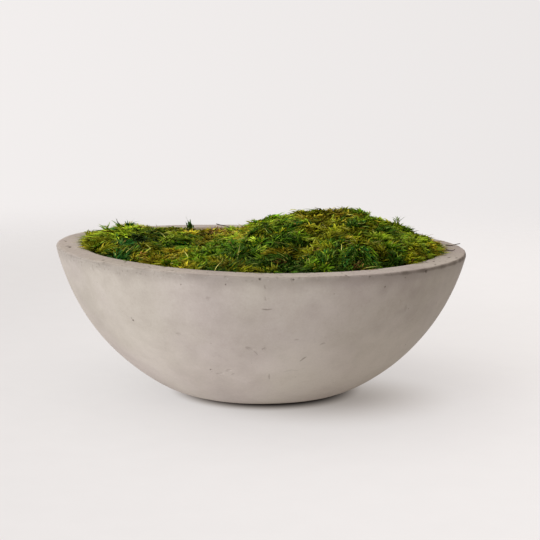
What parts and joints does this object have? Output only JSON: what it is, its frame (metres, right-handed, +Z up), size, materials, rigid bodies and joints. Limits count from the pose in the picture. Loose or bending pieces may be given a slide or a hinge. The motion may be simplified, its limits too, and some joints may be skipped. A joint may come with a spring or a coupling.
{
  "type": "moss clump in a bowl",
  "caption": "Cushions of green moss packed into a low mound in a wide round concrete bowl with a thick flat rim and a small flat foot, with scraps of twig on the rim.",
  "frame": {"origin": "centre of the bowl's flat foot, on the plane it stands on", "axes": "+Z up out of the bowl, -Y towards the front of the picture, +X to its right, where the moss mound is"},
  "size_m": [0.4082, 0.4082, 0.1838],
  "materials": {
    "concrete": "cast concrete, matt, mottled warm grey with small air pits",
    "soil": "dark crumbly peat",
    "moss": "dense soft leaves, yellow-green to deep green with brown flecks",
    "bark": "dry dark stem"
  },
  "bodies": {
    "root": {"bowl": "concrete", "growing_bed": "soil", "moss_left": "moss", "moss_front_left": "moss", "moss_back_left": "moss", "moss_centre_left": "moss", "moss_front": "moss", "moss_back": "moss", "moss_mound_left": "moss", "moss_mound_back": "moss", "moss_mound_top": "moss", "moss_ledge": "moss", "moss_right": "moss", "moss_back_right": "moss", "twig_rim_long": "bark", "twig_rim_short": "bark", "twig_back": "bark"}
  },
  "joints": []
}
